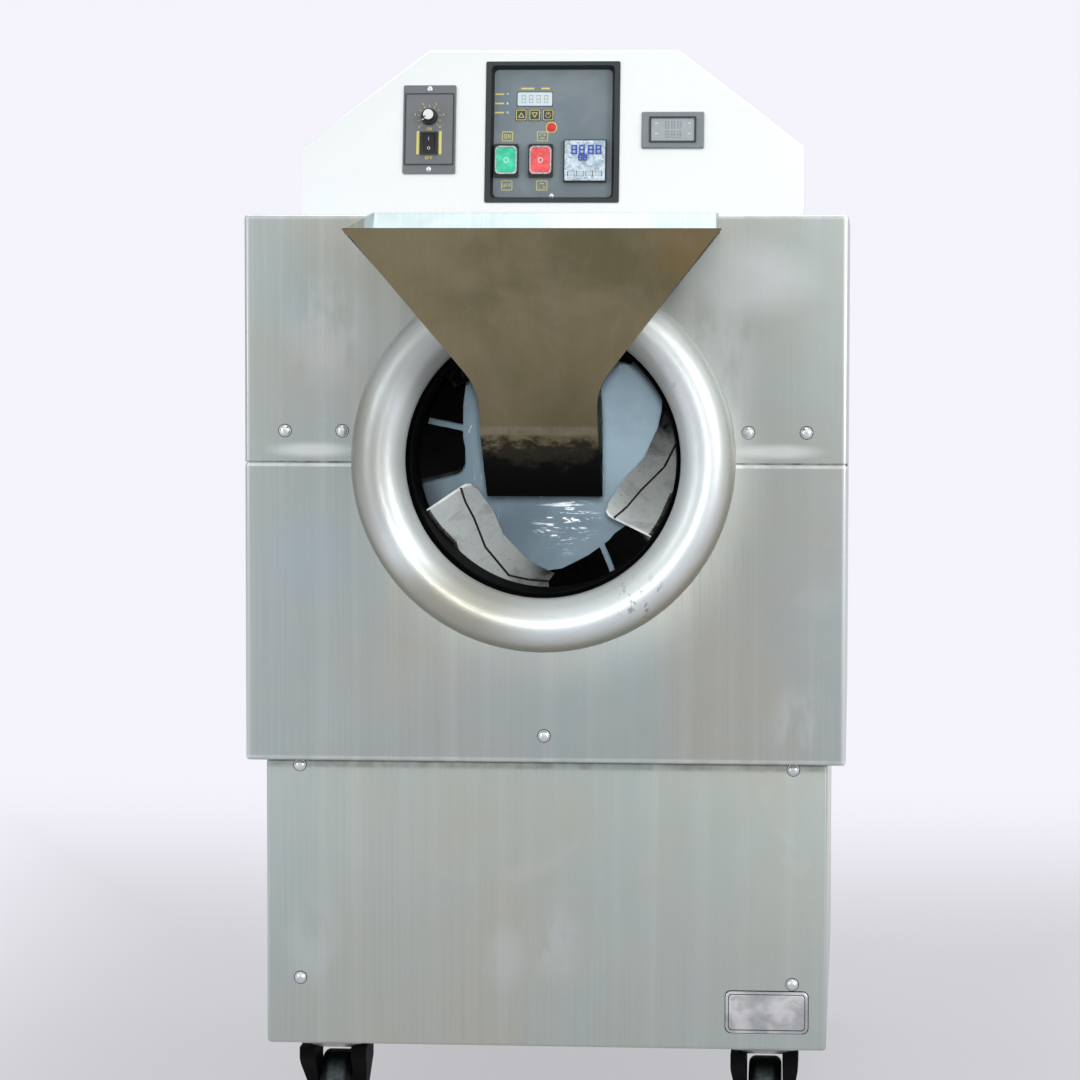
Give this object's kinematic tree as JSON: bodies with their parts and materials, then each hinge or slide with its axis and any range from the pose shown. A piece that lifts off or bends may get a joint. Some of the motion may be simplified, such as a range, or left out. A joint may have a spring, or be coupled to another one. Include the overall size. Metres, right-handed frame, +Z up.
{
  "type": "drum roaster",
  "caption": "Floor-standing induction cocoa bean roaster: round mouth with a lift-off hopper, rotating drum with lifting flights, sloped control console, swivel casters.",
  "frame": {"origin": "on the floor, under the middle of the machine's length and width", "axes": "+Z up, the front with the mouth and the hopper faces -Y, +X to the right seen from the front"},
  "size_m": [0.6, 0.9779, 1.1101],
  "materials": {
    "casing_steel": "brushed upright, hazy, with pale rub marks",
    "bright_steel": "fine brushed, bright",
    "polished_steel": "spun and polished, light scuffs",
    "hopper_steel": "brushed, warm reflections",
    "drum_steel": "polished inside, lightly stained",
    "machined_steel": "turned",
    "bearing_iron": "painted casting",
    "gearbox_aluminium": "die cast",
    "motor_aluminium": "die cast, dark",
    "insulation_wool": "ceramic fibre wool",
    "coil_cable": "sleeved stranded cable, wound close",
    "power_unit_case": "moulded case",
    "frame_paint": "matt grey paint",
    "tray_plastic": "satin dark grey",
    "display_window": "glossy grey window",
    "key_plastic": "satin",
    "switch_plastic": "black, semi-gloss",
    "green_lens": "glossy green under a clear cover",
    "red_lens": "glossy red under a clear cover",
    "controller_key": "light grey, under film",
    "speed_plate": "grey plate with printed scale",
    "knob_plastic": "black with a pale cap",
    "meter_bezel": "dark grey",
    "gland_plastic": "black",
    "zinc_plate": "zinc plated",
    "fork_plastic": "black moulded",
    "wheel_tyre": "black with a worn grey tread"
  },
  "bodies": {
    "housing": {"upper_cover": "casing_steel", "lower_shell": "casing_steel", "cabinet_shell": "casing_steel", "cabinet_front_panel": "casing_steel", "cabinet_rear_panel": "casing_steel", "body_rear_panel": "casing_steel", "mouth_ring": "polished_steel", "console_housing": "bright_steel", "console_back": "bright_steel", "inner_frame": "frame_paint", "insulation_sleeve": "insulation_wool", "induction_coil": "coil_cable", "temperature_probe": "machined_steel", "induction_unit": "power_unit_case", "gearbox": "gearbox_aluminium", "motor": "motor_aluminium", "rear_bearing": "bearing_iron", "control_tray": "tray_plastic", "display_window": "display_window", "heater_switch": "switch_plastic", "direction_switch": "switch_plastic", "temperature_controller": "switch_plastic", "speed_controller": "speed_plate", "power_meter": "meter_bezel", "cable_gland": "gland_plastic", "front_left_plate": "zinc_plate", "front_right_plate": "zinc_plate", "rear_left_plate": "zinc_plate", "rear_right_plate": "zinc_plate"},
    "rotor": {"drum": "drum_steel", "drum_shaft": "machined_steel", "front_flight_1": "drum_steel", "front_flight_2": "drum_steel", "front_flight_3": "drum_steel", "rear_flight_1": "drum_steel", "rear_flight_2": "drum_steel", "rear_flight_3": "drum_steel"},
    "left_support": {"left_roller": "machined_steel"},
    "right_support": {"right_roller": "machined_steel"},
    "filling_hopper": {"hopper": "hopper_steel"},
    "heater_button": {"heater_rocker": "green_lens"},
    "direction_button": {"direction_rocker": "red_lens"},
    "run_button": {"run_rocker": "switch_plastic"},
    "speed_dial": {"speed_knob": "knob_plastic"},
    "up_key": {"key_up": "key_plastic"},
    "down_key": {"key_down": "key_plastic"},
    "power_key": {"key_power": "key_plastic"},
    "set_key_1": {"controller_key_1": "controller_key"},
    "set_key_2": {"controller_key_2": "controller_key"},
    "set_key_3": {"controller_key_3": "controller_key"},
    "set_key_4": {"controller_key_4": "controller_key"},
    "front_left_swivel": {"front_left_fork": "fork_plastic"},
    "front_right_swivel": {"front_right_fork": "fork_plastic"},
    "rear_left_swivel": {"rear_left_fork": "fork_plastic"},
    "rear_right_swivel": {"rear_right_fork": "fork_plastic"},
    "front_left_roll": {"front_left_wheel": "wheel_tyre"},
    "front_right_roll": {"front_right_wheel": "wheel_tyre"},
    "rear_left_roll": {"rear_left_wheel": "wheel_tyre"},
    "rear_right_roll": {"rear_right_wheel": "wheel_tyre"}
  },
  "joints": [
    {"name": "drum_spin", "type": "hinge", "parent": "housing", "child": "rotor", "pos_m": [0, 0, 0.701], "axis": [0, 1, 0], "continuous": true},
    {"name": "left_roller_spin", "type": "hinge", "parent": "housing", "child": "left_support", "pos_m": [-0.10947, -0.293, 0.57054], "axis": [0, 1, 0], "continuous": true},
    {"name": "right_roller_spin", "type": "hinge", "parent": "housing", "child": "right_support", "pos_m": [0.10947, -0.293, 0.57054], "axis": [0, 1, 0], "continuous": true},
    {"name": "hopper_pull", "type": "slide", "parent": "housing", "child": "filling_hopper", "axis": [0, -1, 0], "range_m": [0, 0.25]},
    {"name": "heater_rock", "type": "hinge", "parent": "housing", "child": "heater_button", "pos_m": [-0.0469, -0.21662, 0.99887], "axis": [1, 0, 0], "range_deg": [-12, 12]},
    {"name": "direction_rock", "type": "hinge", "parent": "housing", "child": "direction_button", "pos_m": [-0.0119, -0.21662, 0.99887], "axis": [1, 0, 0], "range_deg": [-12, 12]},
    {"name": "run_rock", "type": "hinge", "parent": "housing", "child": "run_button", "pos_m": [-0.1249, -0.22367, 1.01646], "axis": [-1, 0, 0], "range_deg": [0, 24]},
    {"name": "speed_turn", "type": "hinge", "parent": "housing", "child": "speed_dial", "pos_m": [-0.1249, -0.21451, 1.04247], "axis": [0, 0.9848, -0.1736], "range_deg": [-15, 255]},
    {"name": "up_press", "type": "slide", "parent": "housing", "child": "up_key", "axis": [0, 0.9848, -0.1736], "range_m": [0, 0.0006], "stiffness_N_per_m": 300},
    {"name": "down_press", "type": "slide", "parent": "housing", "child": "down_key", "axis": [0, 0.9848, -0.1736], "range_m": [0, 0.0006], "stiffness_N_per_m": 300},
    {"name": "power_press", "type": "slide", "parent": "housing", "child": "power_key", "axis": [0, 0.9848, -0.1736], "range_m": [0, 0.0006], "stiffness_N_per_m": 300},
    {"name": "set_press_1", "type": "slide", "parent": "housing", "child": "set_key_1", "axis": [0, 0.9848, -0.1736], "range_m": [0, 0.0003], "stiffness_N_per_m": 300},
    {"name": "set_press_2", "type": "slide", "parent": "housing", "child": "set_key_2", "axis": [0, 0.9848, -0.1736], "range_m": [0, 0.0003], "stiffness_N_per_m": 300},
    {"name": "set_press_3", "type": "slide", "parent": "housing", "child": "set_key_3", "axis": [0, 0.9848, -0.1736], "range_m": [0, 0.0003], "stiffness_N_per_m": 300},
    {"name": "set_press_4", "type": "slide", "parent": "housing", "child": "set_key_4", "axis": [0, 0.9848, -0.1736], "range_m": [0, 0.0003], "stiffness_N_per_m": 300},
    {"name": "front_left_turn", "type": "hinge", "parent": "housing", "child": "front_left_swivel", "pos_m": [-0.2195, -0.235, 0.0974], "axis": [0, 0, 1], "continuous": true},
    {"name": "front_right_turn", "type": "hinge", "parent": "housing", "child": "front_right_swivel", "pos_m": [0.2195, -0.235, 0.0974], "axis": [0, 0, 1], "continuous": true},
    {"name": "rear_left_turn", "type": "hinge", "parent": "housing", "child": "rear_left_swivel", "pos_m": [-0.2195, 0.401, 0.0974], "axis": [0, 0, 1], "continuous": true},
    {"name": "rear_right_turn", "type": "hinge", "parent": "housing", "child": "rear_right_swivel", "pos_m": [0.2195, 0.401, 0.0974], "axis": [0, 0, 1], "continuous": true},
    {"name": "front_left_spin", "type": "hinge", "parent": "front_left_swivel", "child": "front_left_roll", "pos_m": [-0.2195, -0.207, 0.0427], "axis": [1, 0, 0], "continuous": true},
    {"name": "front_right_spin", "type": "hinge", "parent": "front_right_swivel", "child": "front_right_roll", "pos_m": [0.2195, -0.207, 0.0427], "axis": [1, 0, 0], "continuous": true},
    {"name": "rear_left_spin", "type": "hinge", "parent": "rear_left_swivel", "child": "rear_left_roll", "pos_m": [-0.2195, 0.429, 0.0427], "axis": [1, 0, 0], "continuous": true},
    {"name": "rear_right_spin", "type": "hinge", "parent": "rear_right_swivel", "child": "rear_right_roll", "pos_m": [0.2195, 0.429, 0.0427], "axis": [1, 0, 0], "continuous": true}
  ],
  "couplings": [
    {"joint": "left_roller_spin", "follows": "drum_spin", "ratio": -5.9388},
    {"joint": "right_roller_spin", "follows": "drum_spin", "ratio": -5.9388}
  ]
}
